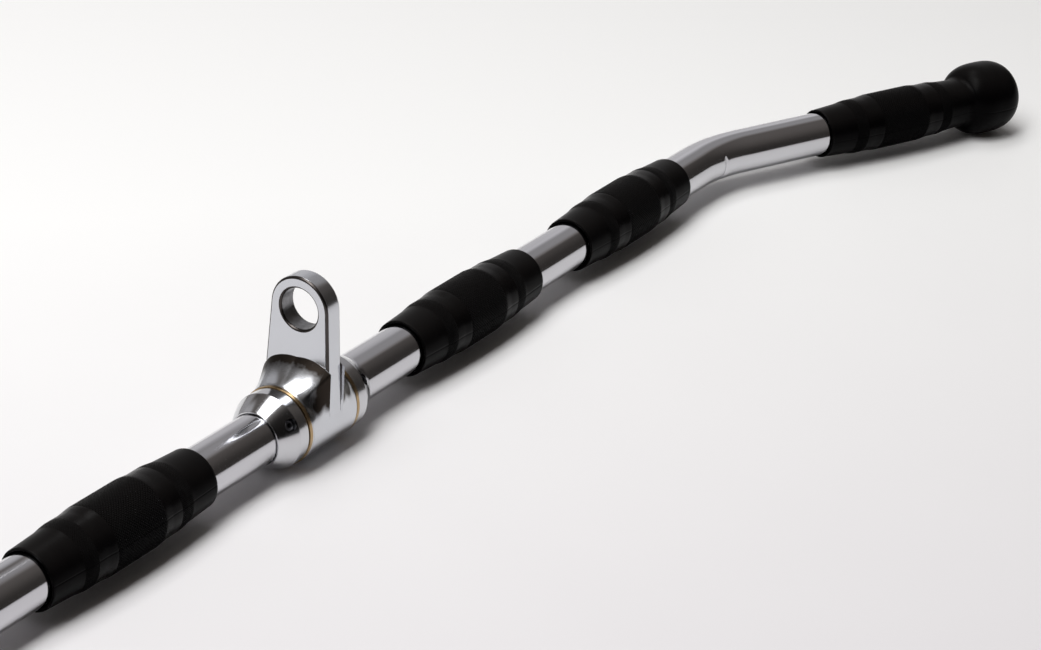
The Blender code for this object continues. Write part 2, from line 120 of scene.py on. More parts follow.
class NodeSheet:
    """The node tree of a material or a world, with short calls to fill it."""

    def __init__(self, owner: bpy.types.ID) -> None:
        """Start with the owner's tree, emptied.

        Args:
            owner: The material or world.
        """
        owner.use_nodes = True
        self.owner = owner
        self.tree = owner.node_tree
        self.tree.nodes.clear()

    def feed(self, target: Socket, value: object) -> None:
        """Give an input its link, or the constant that it keeps.

        Args:
            target: The input.
            value: A socket to link, or a number, vector or colour.
        """
        if isinstance(value, Socket):
            self.tree.links.new(value, target)
        else:
            target.default_value = (*value, 1.0) if target.type == "RGBA" else value

    def add(self, kind: str, *values: object, **settings: object) -> Node:
        """Add a node.

        Args:
            kind: Node type without its ShaderNode prefix.
            *values: Its first inputs, in their order.
            **settings: Inputs by their names, or else properties of the node.

        Returns:
            The new node.
        """
        node = self.tree.nodes.new(f"ShaderNode{kind}")
        for key, value in settings.items():
            label = key.replace("_", " ").title().replace("Ior", "IOR")
            if label in node.inputs:
                self.feed(node.inputs[label], value)
            else:
                setattr(node, key, value)
        for target, value in zip(node.inputs, values):
            self.feed(target, value)
        return node

    def math(self, operation: str, *values: object, clamp: bool = False) -> Socket:
        """Result of a Math node with these inputs, held between 0 and 1 if asked."""
        return self.add("Math", *values, operation=operation, use_clamp=clamp).outputs[0]

    def product(self, first: Socket, *others: object) -> Socket:
        """Multiply a value by others.

        Args:
            first: The first value.
            *others: The values that it is multiplied by.

        Returns:
            The product's socket.
        """
        for other in others:
            first = self.math("MULTIPLY", first, other)
        return first

    def distance(self, first: Socket, second: Socket) -> Socket:
        """Length of a vector with these two parts."""
        squares = [self.product(part, part) for part in (first, second)]
        return self.math("SQRT", self.math("ADD", *squares))

    def blend(self, share: Socket, first: object, second: object) -> Socket:
        """Mix two colours by a share.

        Args:
            share: Socket that gives the second colour's share.
            first: Colour at share 0, or its socket.
            second: Colour at share 1, or its socket.

        Returns:
            The mixed colour's socket.
        """
        node = self.add("Mix", share, data_type="RGBA")
        self.feed(node.inputs[6], first)
        self.feed(node.inputs[7], second)
        return node.outputs[2]

    def ramp(self, value: Socket, start: float, end: float, low: float = 0.0, high: float = 1.0,
             easing: str = "SMOOTHSTEP") -> Socket:
        """Go from a low level to a high one while a value goes from start to end.

        Args:
            value: The value's socket.
            start: Value at which the level is low.
            end: Value at which the level is high.
            low: The low level.
            high: The high level.
            easing: The Map Range node's interpolation.

        Returns:
            The level's socket.
        """
        return self.add("MapRange", value=value, interpolation_type=easing, from_min=start,
                        from_max=end, to_min=low, to_max=high).outputs["Result"]

    def spread(self, value: Socket, low: float, high: float) -> Socket:
        """Map a value between 0 and 1 to the range from low to high."""
        return self.ramp(value, 0.0, 1.0, low, high, "LINEAR")

    def own_place(self) -> Socket:
        """The piece's own coordinates."""
        return self.add("TexCoord").outputs["Object"]

    def split(self, vector: Socket) -> list[Socket]:
        """The three parts of a vector."""
        return list(self.add("SeparateXYZ", vector).outputs)

    def grain(self, scale: float, detail: float = 3.0, stretch: Point3 = (1.0, 1.0, 1.0)) -> Socket:
        """Noise on the piece's own coordinates: waves per metre, octaves, scale of each axis."""
        mapping = self.add("Mapping", self.own_place(), scale=stretch)
        return self.add("TexNoise", mapping.outputs[0], scale=scale, detail=detail).outputs["Fac"]

    def relief(self, height: Socket, depth: float, strength: float = 1.0,
               over: Socket | None = None) -> Socket:
        """Turn a height into a bumped normal.

        Args:
            height: Height socket, from 0 to 1.
            depth: What a height of 1 stands for, in metres.
            strength: Share of the bump that shows.
            over: Bumped normal that this one adds to, or None.

        Returns:
            The normal's socket.
        """
        bump = self.add("Bump", distance=depth, strength=strength, height=height)
        if over is not None:
            self.feed(bump.inputs["Normal"], over)
        return bump.outputs["Normal"]

    def coat(self, **settings: object) -> Material:
        """Close the tree with a surface shader.

        Args:
            **settings: Inputs of the shader.

        Returns:
            The finished material.
        """
        shader = self.add("BsdfPrincipled", **settings)
        self.add("OutputMaterial", shader.outputs[0])
        return self.owner


@dataclass(frozen=True)
class Finish:
    """A patchy finish in two tones, as rough as its patches say, with a fine relief."""

    name: str
    tone: Colour
    patch: Colour
    smooth: float
    dull: float
    metallic: float
    patches: Point2
    depth: float
    strength: float

    def marks(self, sheet: NodeSheet, patches: Socket) -> Socket:
        """Height of the fine relief: the patches themselves."""
        return patches

    def material(self) -> Material:
        """Build the node material of this finish.

        Returns:
            The material.
        """
        sheet = NodeSheet(bpy.data.materials.new(self.name))
        patches = sheet.grain(*self.patches)
        return sheet.coat(
            metallic=self.metallic,
            base_color=sheet.blend(patches, self.tone, self.patch),
            roughness=sheet.spread(patches, self.smooth, self.dull),
            normal=sheet.relief(self.marks(sheet, patches), self.depth, self.strength),
        )


@dataclass(frozen=True)
class TurnedMetal(Finish):
    """Turned brass or bronze, with a patchy tarnish."""

    metallic: float = 1.0
    patches: Point2 = (160.0, 4.0)
    depth: float = 0.00002
    strength: float = 0.4

    def marks(self, sheet: NodeSheet, patches: Socket) -> Socket:
        """Height of fine lathe lines round the piece's own axis."""
        return sheet.grain(6000.0, 2.0, (0.02, 0.02, 1.0))


@dataclass(frozen=True)
class Plating:
    """Chrome plating: a mirror with a faint cloud, a soft grain and fine wipe marks."""

    name: str
    tone: Colour
    cloud: Colour
    smooth: float
    dull: float
    waviness: float
    haze_share: float = 0.65

    def material(self) -> Material:
        """Build the node material of this plating.

        Returns:
            The material.
        """
        sheet = NodeSheet(bpy.data.materials.new(self.name))
        haze = sheet.grain(38.0, 4.0)
        wiping = sheet.grain(900.0, 2.0, (0.12, 1.0, 1.0))
        mixed = sheet.math("ADD", sheet.product(haze, self.haze_share),
                           sheet.product(wiping, 1.0 - self.haze_share))
        colour, roughness = self.add_painted_shade(sheet, sheet.blend(haze, self.tone, self.cloud),
                                         sheet.spread(mixed, self.smooth, self.dull))
        swell = sheet.grain(75.0, 1.0)
        return sheet.coat(metallic=1.0, base_color=colour, roughness=roughness,
                          normal=sheet.relief(swell, self.waviness))

    def add_painted_shade(self, sheet: NodeSheet, colour: Socket, roughness: Socket) -> tuple[Socket, Socket]:
        """Add no painted shade: leave the clean plating's colour and roughness as they are."""
        return colour, roughness


@dataclass(frozen=True)
class CastPlating(Plating):
    """Plating of the hanger, with painted shade that makes it dull and brownish-dark in the crease beside the
    eye plate and inside the eye.

    Each zone of the painted shade is a list of bands: what it goes by, where there is none of
    it, and where it is full.
    """

    # Colour of the painted shade in the crease beside the plate and inside the eye.
    painted_shade: Colour = (0.030, 0.024, 0.020)
    zones: tuple[tuple[tuple[Measure, float, float], ...], ...] = (
        (
            (Measure.ASIDE, 0.0139, 0.0060),
            (Measure.RADIUS, 0.0200, 0.0222),
            (Measure.UP, 0.0060, 0.0090),
        ),
        (
            (Measure.ACROSS, -0.0120, -0.0165),
            (Measure.ASIDE, 0.0172, 0.0130),
            (Measure.RADIUS, 0.0194, 0.0203),
            (Measure.SLANTED, 0.0145, 0.0195),
        ),
    )
    slant: float = 0.75
    plate_half: float = 0.0054
    eye_height: float = 0.0536
    eye_reach: float = 0.0104
    eye_shade_share: float = 0.62
    patchiness: Point2 = (0.8, 1.4)
    shade_roughness: float = 0.22

    def add_painted_shade(self, sheet: NodeSheet, colour: Socket, roughness: Socket) -> tuple[Socket, Socket]:
        """Paint shade into the colour, and roughen the surface, in the crease and in the eye.

        Args:
            sheet: Node sheet of the material.
            colour: Colour of the clean plating.
            roughness: Roughness of the clean plating.

        Returns:
            The stained colour and the roughness.
        """
        along, across, up = sheet.split(sheet.own_place())
        aside = sheet.math("ABSOLUTE", along)
        measures = {
            Measure.ASIDE: aside,
            Measure.ACROSS: across,
            Measure.UP: up,
            Measure.RADIUS: sheet.distance(across, up),
            Measure.SLANTED: sheet.math("ADD", up, sheet.product(aside, self.slant)),
        }
        # Masks of the painted shade in the crease beside the eye plate.
        shade_masks = [sheet.product(*(sheet.ramp(measures[what], none, full) for what, none, full in bands))
                  for bands in self.zones]
        outside = sheet.math("GREATER_THAN", aside, self.plate_half)
        crease = sheet.product(sheet.math("MAXIMUM", *shade_masks), outside)
        # Painted shade inside the eye.
        from_eye = sheet.distance(across, sheet.math("SUBTRACT", up, self.eye_height))
        eye_shade = sheet.product(sheet.math("LESS_THAN", from_eye, self.eye_reach), self.eye_shade_share)
        patchy = sheet.spread(sheet.grain(420.0, 4.0), *self.patchiness)
        share = sheet.math("MULTIPLY", sheet.math("ADD", crease, eye_shade), patchy, clamp=True)
        rough = sheet.math("ADD", roughness, sheet.product(share, self.shade_roughness))
        return sheet.blend(share, colour, self.painted_shade), rough


@dataclass(frozen=True)
class GripRubber:
    """Black grip rubber: one zone of it, smooth, glossy or moulded with small diamonds."""

    name: str
    smooth: float
    dull: float
    sheen: float
    diamond: float = 0.0
    depth: float = 0.0
    tone: Colour = (0.0009, 0.0007, 0.0009)
    # Paler tone on faces that look up: dust, and a painted sheen of the light from above.
    dust_and_sheen_tone: Colour = (0.0068, 0.0061, 0.0060)
    dust_and_sheen_from: float = 0.25
    round_radius: float = 0.0165

    def diamonds(self, sheet: NodeSheet) -> Socket:
        """Height of two crossing screw threads round the grip's own Z axis.

        Args:
            sheet: Node sheet of the material.

        Returns:
            Socket of a height from 0 to 1.
        """
        across, up, along = sheet.split(sheet.own_place())
        count = round(FULL_TURN * self.round_radius / self.diamond)
        round_part = sheet.product(sheet.math("ARCTAN2", up, across), float(count))
        long_part = sheet.product(along, FULL_TURN / self.diamond)
        threads = []
        for hand in ("ADD", "SUBTRACT"):
            phase = sheet.product(sheet.math(hand, round_part, long_part), 0.5)
            threads.append(sheet.math("ABSOLUTE", sheet.math("SINE", phase)))
        return sheet.math("MINIMUM", *threads)

    def material(self) -> Material:
        """Build the node material of this zone, paler where it faces up: dust and a painted sheen.

        Returns:
            The material.
        """
        sheet = NodeSheet(bpy.data.materials.new(self.name))
        bloom = sheet.grain(55.0, 5.0)
        facing_up = sheet.split(sheet.add("NewGeometry").outputs["Normal"])[2]
        # Dust and painted sheen: paler towards the top, in patches.
        dust_and_sheen = sheet.math("MULTIPLY", sheet.ramp(facing_up, self.dust_and_sheen_from, 1.0),
                          sheet.spread(bloom, 0.5, 1.5), clamp=True)
        skin_relief = sheet.relief(sheet.grain(2600.0), 0.00004, 0.35)
        if self.diamond:
            skin_relief = sheet.relief(self.diamonds(sheet), self.depth, over=skin_relief)
        return sheet.coat(
            specular_ior_level=self.sheen,
            base_color=sheet.blend(dust_and_sheen, self.tone, self.dust_and_sheen_tone),
            roughness=sheet.spread(bloom, self.smooth, self.dull),
            normal=skin_relief,
        )


class FinishShelf:
    """Every finish of the bar, each made once."""

    def __init__(self) -> None:
        """Make the materials, the rubber's in the order of its zones."""
        self.tube = Plating(
            "tube_chrome", (0.55, 0.55, 0.575), (0.58, 0.575, 0.60), 0.07, 0.15, 0.000008).material()
        # The hanger's plating carries painted shade in its crease and inside its eye.
        self.casting = CastPlating(
            "cast_chrome", (0.615, 0.63, 0.665), (0.565, 0.575, 0.60), 0.13, 0.22, 0.00006).material()
        self.collar = Plating(
            "collar_chrome", (0.60, 0.605, 0.63), (0.55, 0.55, 0.565), 0.10, 0.20, 0.00005).material()
        # Near-black plating for the eye plate's rounded edges: a painted dark reflection along them.
        self.edge = Plating(
            "painted_dark_edge", (0.045, 0.04, 0.038), (0.10, 0.09, 0.085), 0.20, 0.40, 0.00004).material()
        self.brass = TurnedMetal(
            "brass", (0.52, 0.38, 0.21), (0.30, 0.20, 0.10), 0.192, 0.312).material()
        self.bronze = TurnedMetal(
            "bronze", (0.55, 0.38, 0.20), (0.36, 0.23, 0.12), 0.28, 0.455).material()
        self.screw = Finish(
            "screw_steel", (0.025, 0.025, 0.028), (0.07, 0.07, 0.075), 0.28, 0.5,
            metallic=0.9, patches=(700.0, 4.0), depth=0.00003, strength=0.5).material()
        self.plastic = Finish(
            "plug_plastic", (0.03, 0.03, 0.03), (0.05, 0.05, 0.05), 0.4, 0.6,
            metallic=0.0, patches=(1500.0, 3.0), depth=0.00005, strength=0.4).material()
        self.rubber = [zone.material() for zone in (
            GripRubber("rubber_cuff", 0.26, 0.40, 0.03),
            GripRubber("rubber_knurl", 0.38, 0.52, 0.016, diamond=0.0016, depth=0.0006),
            GripRubber("rubber_gloss", 0.20, 0.32, 0.045),
            GripRubber("rubber_fine", 0.38, 0.52, 0.016, diamond=0.0011, depth=0.0003),
            GripRubber("rubber_face", 0.30, 0.45, 0.05),
        )]


# ---------------------------------------------------------------------------
# Workshop: how meshes are made
# ---------------------------------------------------------------------------


def soften(points: list[Point2], reach: float, steps: int = 3, closed: bool = False) -> list[Point2]:
    """Round the corners of an outline, apart from nearly straight ones.

    Args:
        points: The outline's corners.
        reach: Distance from each corner at which its rounding starts.
        steps: Pieces of each rounded corner.
        closed: Whether the outline's last point joins its first.

    Returns:
        The outline with a short curve in place of each corner.
    """
    straight, most_of_side = math.radians(4), 0.45
    count = len(points)
    result: list[Point2] = []
    for index, point in enumerate(points):
        here = Vector(point)
        before = Vector(points[index - 1]) - here
        after = Vector(points[(index + 1) % count]) - here
        if (not closed and index in (0, count - 1)) or before.angle(-after, 0.0) < straight:
            result.append(point)
            continue
        size = min(reach, before.length * most_of_side, after.length * most_of_side)
        start = here + before.normalized() * size
        end = here + after.normalized() * size
        for step in range(steps + 1):
            share = step / steps
            place = start.lerp(here, share).lerp(here.lerp(end, share), share)
            result.append((place.x, place.y))
    return result


def shade(mesh: bpy.types.Mesh) -> None:
    """Shade a mesh smooth, apart from its sharp edges."""
    mesh.shade_smooth()
    mesh.set_sharp_from_angle(angle=SHARP_ANGLE)


def mesh_object(name: str, work: bmesh.types.BMesh) -> Piece:
    """Turn a worked mesh into an object of the scene.

    Args:
        name: Name of the piece.
        work: The finished bmesh, which is freed.

    Returns:
        The new object, shaded.
    """
    bmesh.ops.recalc_face_normals(work, faces=work.faces)
    mesh = bpy.data.meshes.new(name)
    work.to_mesh(mesh)
    work.free()
    shade(mesh)
    piece = bpy.data.objects.new(name, mesh)
    bpy.context.scene.collection.objects.link(piece)
    return piece


def skin(work: bmesh.types.BMesh, rings: list[Ring], closed: bool = False,
         zones: list[int] | None = None) -> None:
    """Join each ring of corners to the next one by faces.

    Args:
        work: The mesh in work.
        rings: Rings of equally many corners; a ring on the axis repeats its one corner.
        closed: Whether the last ring joins the first.
        zones: Material slot of the faces after each ring, or None for slot 0.
    """
    for number in range(len(rings) if closed else len(rings) - 1):
        ring, following = rings[number], rings[(number + 1) % len(rings)]
        if ring[0] is ring[1] and following[0] is following[1]:
            continue
        for index, corner in enumerate(ring):
            after = (index + 1) % len(ring)
            corners = dict.fromkeys((corner, ring[after], following[after], following[index]))
            work.faces.new(list(corners)).material_index = zones[number] if zones else 0


@dataclass(frozen=True)
class Seam:
    """A fine mould line along a lathed piece, where its radius is above a limit."""

    turn: float
    above: float
    width: float = 0.0006
    depth: float = 0.00012
    room: float = 4.5
    section: tuple[Point2, ...] = ((-1.6, 0.0), (-1.0, 0.6), (0.0, 1.0), (1.0, 0.6), (1.6, 0.0))

    def press(self, dents: dict[float, float], sides: int, radius: float) -> None:
        """Put the line's columns in place of a piece's even ones.

        Args:
            dents: Depth at the angle of each column, which is changed.
            sides: Number of even columns; those nearer than room over sides go.
            radius: Largest radius of the piece.
        """
        for turn in list(dents):
            if abs(math.remainder(turn - self.turn, FULL_TURN)) < self.room / sides:
                del dents[turn]
        half = self.width / radius / 2
        for place, share in self.section:
            dents[(self.turn + place * half) % FULL_TURN] = share * self.depth


def lathe(name: str, outline: list[Point2], sides: int = 128, zones: list[int] | None = None,
          seams: tuple[Seam, ...] = ()) -> Piece:
    """Spin a closed outline of (radius, height) about the Z axis.

    Args:
        name: Name of the piece.
        outline: Corners of the section; a radius of 0 lies on the axis.
        sides: Facets round the axis.
        zones: Material slot of each outline segment, or None for slot 0.
        seams: Mould lines along the piece, all above the same radius.

    Returns:
        The new object, standing at the origin.
    """
    dents = {FULL_TURN * index / sides: 0.0 for index in range(sides)}
    for seam in seams:
        seam.press(dents, sides, max(radius for radius, _ in outline))
    above = seams[0].above if seams else 0.0
    work = bmesh.new()
    rings: list[Ring] = []
    for radius, height in outline:
        if radius == 0.0:
            rings.append([work.verts.new((0.0, 0.0, height))] * len(dents))
            continue
        rings.append([])
        for turn, dent in sorted(dents.items()):
            reach = radius - (dent if radius > above else 0.0)
            rings[-1].append(work.verts.new((reach * math.cos(turn), reach * math.sin(turn), height)))
    skin(work, rings, True, zones)
    return mesh_object(name, work)


def sweep(name: str, path: list[Vector], radii: Point2, sides: int = 96) -> Piece:
    """Carry circles along a flat path in the XY plane, as the walls of a tube.

    Args:
        name: Name of the piece.
        path: Points of the centre line.
        radii: Outer and inner radius.
        sides: Facets round the tube.

    Returns:
        The tube, closed by a ring at both ends.
    """
    work = bmesh.new()
    walls: list[list[Ring]] = []
    up = Vector((0.0, 0.0, 1.0))
    turns = [FULL_TURN * step / sides for step in range(sides)]
    for radius in radii:
        walls.append([])
        for index, place in enumerate(path):
            ahead = path[min(index + 1, len(path) - 1)] - path[max(index - 1, 0)]
            across = Vector((-ahead.y, ahead.x, 0.0)).normalized()
            walls[-1].append([
                work.verts.new(place + (across * math.cos(turn) + up * math.sin(turn)) * radius)
                for turn in turns])
    outer, inner = walls
    skin(work, outer + inner[::-1], True)
    return mesh_object(name, work)


def as_mesh(piece: Piece) -> bpy.types.Mesh:
    """Make a mesh of a piece as it looks now.

    Args:
        piece: A mesh with modifiers, or a filled curve.

    Returns:
        The new mesh.
    """
    bpy.context.view_layer.update()
    graph = bpy.context.evaluated_depsgraph_get()
    return bpy.data.meshes.new_from_object(piece.evaluated_get(graph))


def cut(piece: Piece, tool: Piece, operation: str = "DIFFERENCE") -> None:
    """Apply a Boolean of a tool piece to a piece, and remove the tool.

    Args:
        piece: Object that is cut or joined.
        tool: Object that cuts or joins it.
        operation: DIFFERENCE or UNION.
    """
    step = piece.modifiers.new("cut", "BOOLEAN")
    step.operation = operation
    step.solver = "EXACT"
    step.object = tool
    old, mesh = piece.data, as_mesh(piece)
    piece.modifiers.clear()
    piece.data = mesh
    mesh.name = piece.name
    bpy.data.meshes.remove(old)
    bpy.data.objects.remove(tool, do_unlink=True)


def hold_flats(piece: Piece) -> None:
    """Shade a piece so that its flat faces stay flat beside its rounded edges.

    Args:
        piece: The piece to shade.
    """
    shade(piece.data)
    weight = piece.modifiers.new("flat_faces", "WEIGHTED_NORMAL")
    weight.keep_sharp = True
    weight.weight = 100


def paint(piece: Piece, *materials: Material) -> None:
    """Give a piece its materials; its faces keep their slots where it had none before.

    Args:
        piece: The piece.
        *materials: Its materials, in the order of its slots.
    """
    if piece.data.materials:
        piece.data.materials.clear()
    for material in materials:
        piece.data.materials.append(material)


def dress(piece: Piece, node: str, slot: str, *materials: Material, body: str = "bar") -> None:
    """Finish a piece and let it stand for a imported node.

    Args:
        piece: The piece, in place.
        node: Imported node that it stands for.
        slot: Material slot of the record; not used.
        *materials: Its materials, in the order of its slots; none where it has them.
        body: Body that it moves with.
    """
    if materials:
        paint(piece, *materials)
    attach(piece, body)
    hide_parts(node)
    LOG.info("built %s on %s", piece.name, body)


def dress_packed(node: Piece, material: Material) -> None:
    """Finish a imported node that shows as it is.

    Args:
        node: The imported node.
        material: Its finish.
    """
    paint(node, material)
    LOG.info("finished %s", node.name)


@dataclass(frozen=True)
class BarLine:
    """Where the bar lies: its axis, its small tilt and the corners of its bends."""

    place: Vector = field(default_factory=lambda: Vector((0.0, 0.0431061, 0.0193)))
    tilt: float = 0.0279633
    bend_angle: float = math.radians(23.6)
    bend_radius: float = 0.100
    bend_start: float = 0.3768
    corner: float = 0.397691
    corner_to_grip: float = 0.080591

    @property
    def frame(self) -> Matrix:
        """Place and tilt of the bar's own plane."""
        return Matrix.Translation(self.place) @ Matrix.Rotation(-self.tilt, 4, "X")

    def lay(self, piece: Piece, at: Vector, ahead: Vector) -> None:
        """Lay a turned piece along the bar.

        Args:
            piece: Object whose Z axis is its own axis.
            at: Place of its foot in the bar's own plane.
            ahead: Direction of its axis in the bar's own plane.
        """
        stand = ahead.normalized()
        side = Vector((0.0, 0.0, 1.0)).cross(stand).normalized()
        turn = Matrix((stand.cross(side), side, stand)).transposed().to_4x4()
        piece.matrix_world = self.frame @ Matrix.Translation(at) @ turn

    def on_bend(self, side: Side, angle: float) -> Vector:
        """Point on the axis in a bend, this far round it."""
        along = self.bend_start + self.bend_radius * math.sin(angle)
        return Vector((side.value * along, -self.bend_radius * (1 - math.cos(angle)), 0.0))

    def heading(self, side: Side, angle: float) -> Vector:
        """Direction of the axis in a bend, this far round it."""
        return Vector((side.value * math.cos(angle), -math.sin(angle), 0.0))

    def on_arm(self, side: Side, distance: float) -> Vector:
        """Point on a bent arm's axis, this far past its corner."""
        return side.ahead * self.corner + self.heading(side, self.bend_angle) * distance


# ---------------------------------------------------------------------------
# Sub-assemblies
# ---------------------------------------------------------------------------


@dataclass
class BarTube:
    """The chromed steel tube, bent once on each side."""

    line: BarLine
    radius: float = 0.0125
    wall: float = 0.0025
    end: float = 0.1302
    bend_steps: int = 80
    straight_stops: tuple[float, ...] = (0.0, 0.5, 0.97, 1.0)
    arm_stop: float = 0.03
    crease_depth: float = 0.0009
    crease_width: float = 0.0012
    crease_reach: float = 0.005
    crease_back: float = 0.0015
    crease_down: float = 0.85
    crease_fade: float = 0.3
    skin_depth: float = 0.0005

    def centre_line(self) -> list[Vector]:
        """Lay out the tube's centre line.

        Returns:
            Its points from the left end to the right end.
        """
        line = self.line
        right = [Vector((line.bend_start * share, 0.0, 0.0)) for share in self.straight_stops]
        for step in range(1, self.bend_steps + 1):
            right.append(line.on_bend(Side.RIGHT, line.bend_angle * step / self.bend_steps))
        for distance in (self.arm_stop, line.corner_to_grip, line.corner_to_grip + self.end):
            right.append(line.on_arm(Side.RIGHT, distance))
        return [Vector((-point.x, point.y, 0.0)) for point in reversed(right[1:])] + right

    def crease(self, tube: Piece, side: Side) -> None:
        """Press the small mark of the bending tool into the lower inside of a bend.

        Args:
            tube: The swept tube, before it is laid.
            side: Which bend.
        """
        half = self.line.bend_angle / 2
        middle = self.line.on_bend(side, half) - side.ahead * self.crease_back
        along = self.line.heading(side, half)
        inside = Vector((-side.value * math.sin(half), -math.cos(half), -self.crease_down)).normalized()
        for corner in tube.data.vertices:
            arm = corner.co - middle
            place = arm.dot(along)
            out = arm - along * place
            facing = arm.dot(inside) / self.radius - self.crease_fade
            if abs(place) < self.crease_reach and facing > 0 and out.length > self.radius - self.skin_depth:
                share = min(facing / self.crease_fade, 1.0) * math.exp(-(place / self.crease_width) ** 2)
                corner.co -= out.normalized() * self.crease_depth * share

    def build(self, shelf: FinishShelf) -> None:
        """Build and dress the tube.

        Args:
            shelf: The finishes.
        """
        tube = sweep("tube", self.centre_line(), (self.radius, self.radius - self.wall))
        for side in Side:
            self.crease(tube, side)
        tube.matrix_world = self.line.frame
        dress(tube, "bar_tube", "tube_chrome", shelf.tube)


@dataclass
class HangerCasting:
    """The chromed casting that revolves on the bar: barrel, flare and eye plate."""

    line: BarLine
    half_length: float = 0.0172
    radius: float = 0.0193
    bore: float = 0.0155
    chamfer: float = 0.0005
    flare_rise: float = 0.0105
    flare_power: float = 1.25
    flare_spread: float = math.radians(52.0)
    flare_fall: float = 5.0
    flare_corner: float = math.radians(36.0)
    flare_half: float = math.radians(95.0)
    shoulder_rise: float = 0.0030
    steps_above: int = 150
    steps_below: int = 60
    steps_aside: int = 30
    plate_thickness: float = 0.0105
    plate_round: float = 0.0015
    plate_sink: float = 0.0004
    foot_inset: float = 0.0003
    eye_radius: float = 0.010
    head_radius: float = 0.01575
    eye_height: float = 0.0536
    mouth: float = 0.001

    def flare_top(self, turn: float) -> float:
        """Rise of the flare beside the plate: a full shoulder in front, a soft fall behind.

        Args:
            turn: Angle from the top; the front is negative.

        Returns:
            Rise over the barrel.
        """
        if turn < -math.pi / 2:
            return 0.0
        if turn < 0:
            upright = self.radius / math.sin(-turn) - self.radius
            climb = math.sin(math.pi / 2 * min(-turn / self.flare_corner, 1.0))
            return min(self.flare_rise + self.shoulder_rise * climb, upright)
        bottom, here = (1 / (1 + (place / self.flare_spread) ** self.flare_fall) for place in (math.pi, turn))
        return self.flare_rise * (here - bottom) / (1 - bottom)

    def flare_share(self, place: float) -> float:
        """Share of the flare's full rise at a distance from the hanger's middle."""
        face = self.plate_thickness / 2
        return ((self.half_length - place) / (self.half_length - face)) ** self.flare_power

    def ring(self, radius: float, share: float) -> list[Point2]:
        """Outline of one section of barrel and flare, fine above and coarse below.

        Args:
            radius: Radius of the barrel there.
            share: Share of the flare's full rise.

        Returns:
            Places across and up.
        """
        top, below = self.flare_half, FULL_TURN - 2 * self.flare_half
        turns = [top * (2 * step / self.steps_above - 1) for step in range(self.steps_above + 1)]
        turns += [top + below * step / self.steps_below for step in range(1, self.steps_below)]
        reaches = [radius + share * self.flare_top(math.remainder(turn, FULL_TURN)) for turn in turns]
        return [(reach * math.sin(turn), reach * math.cos(turn)) for reach, turn in zip(reaches, turns)]

    def barrel(self) -> Piece:
        """Build the barrel with its flare, which sinks away inside the plate.

        Returns:
            The barrel, still without its bore.
        """
        half, face, steps = self.half_length, self.plate_thickness / 2, self.steps_aside
        sections = [(-half, self.radius - self.chamfer, 0.0), (self.chamfer - half, self.radius, 0.0)]
        for step in range(1, steps + 1):
            place = half - (half - face) * step / steps
            sections.append((-place, self.radius, self.flare_share(place)))
        for place, share in ((face - self.plate_sink, 0.5), (face - 2 * self.plate_sink, 0.0), (0.0, 0.0)):
            sections.append((-place, self.radius, share))
        sections += [(-place, radius, share) for place, radius, share in reversed(sections[:-1])]
        work = bmesh.new()
        rings = [[work.verts.new((place, across, up)) for across, up in self.ring(radius, share)]
                 for place, radius, share in sections]
        skin(work, rings)
        work.faces.new(rings[0])
        work.faces.new(rings[-1])
        return mesh_object("hanger", work)

    @staticmethod
    def arc(height: float, radius: float, start: float, end: float, steps: int) -> list[Point2]:
        """Places across and up on an arc round a height, from a first to a last angle."""
        turns = [start + (end - start) * step / steps for step in range(steps + 1)]
        return [(radius * math.cos(turn), height + radius * math.sin(turn)) for turn in turns]

    def plate(self, *materials: Material) -> Piece:
        """Build the eye plate.

        Args:
            *materials: Its material, and that of its rounded edges, a near-black painted reflection.

        Returns:
            The plate as a piece, upright.
        """
        curve = bpy.data.curves.new("plate", "CURVE")
        curve.dimensions = "2D"
        curve.fill_mode = "BOTH"
        curve.extrude = self.plate_thickness / 2 - self.plate_round
        curve.bevel_depth = self.plate_round
        curve.bevel_resolution = 5
        curve.offset = -self.plate_round
        taper = math.asin((self.radius - self.head_radius) / self.eye_height)
        head = self.arc(self.eye_height, self.head_radius, taper, math.pi - taper, 72)
        foot = self.arc(0.0, self.radius - self.foot_inset, math.pi - taper, FULL_TURN + taper, 40)
        eye = self.arc(self.eye_height, self.eye_radius, FULL_TURN, 0.0, 96)[:-1]
        for outline in (head + foot, eye):
            spline = curve.splines.new("POLY")
            spline.points.add(len(outline) - 1)
            for point, (across, up) in zip(spline.points, outline):
                point.co = (across, up, 0.0, 1.0)
            spline.use_cyclic_u = True
        holder = bpy.data.objects.new("plate_curve", curve)
        bpy.context.scene.collection.objects.link(holder)
        work = bmesh.new()
        work.from_mesh(as_mesh(holder))
        bpy.data.objects.remove(holder, do_unlink=True)
        bmesh.ops.remove_doubles(work, verts=work.verts, dist=1e-6)
        for face in work.faces:
            # Faces of the rounded edges take the second slot, the painted dark reflection.
            face.material_index = int(0.25 < abs(face.normal.z) < 0.97)
        plate = mesh_object("plate", work)
        paint(plate, *materials)
        plate.data.transform(Matrix(((0, 0, 1, 0), (1, 0, 0, 0), (0, 1, 0, 0), (0, 0, 0, 1))))
        return plate

    def build(self, shelf: FinishShelf, nodes: dict[str, Piece]) -> None:
        """Build and dress the casting, and dress the bushings inside it.

        Args:
            shelf: The finishes.
            nodes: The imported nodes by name.
        """
        casting = self.barrel()
        paint(casting, shelf.casting, shelf.edge)
        cut(casting, self.plate(shelf.casting, shelf.edge), "UNION")
        end = self.half_length + self.mouth
        lip = self.chamfer * 0.8
        wide = self.bore + lip + self.mouth
        bore = lathe("bore_tool", [(0.0, end), (wide, end), (self.bore, self.half_length - lip),
                                   (self.bore, lip - self.half_length), (wide, -end), (0.0, -end)])
        bore.matrix_world = Matrix.Rotation(math.pi / 2, 4, "Y")
        cut(casting, bore)
        hold_flats(casting)
        casting.location = self.line.place
        dress(casting, "hanger_body", "cast_chrome", body="hanger")
        for side in Side:
            dress_packed(nodes[f"bushing_{side.word}"], shelf.bronze)


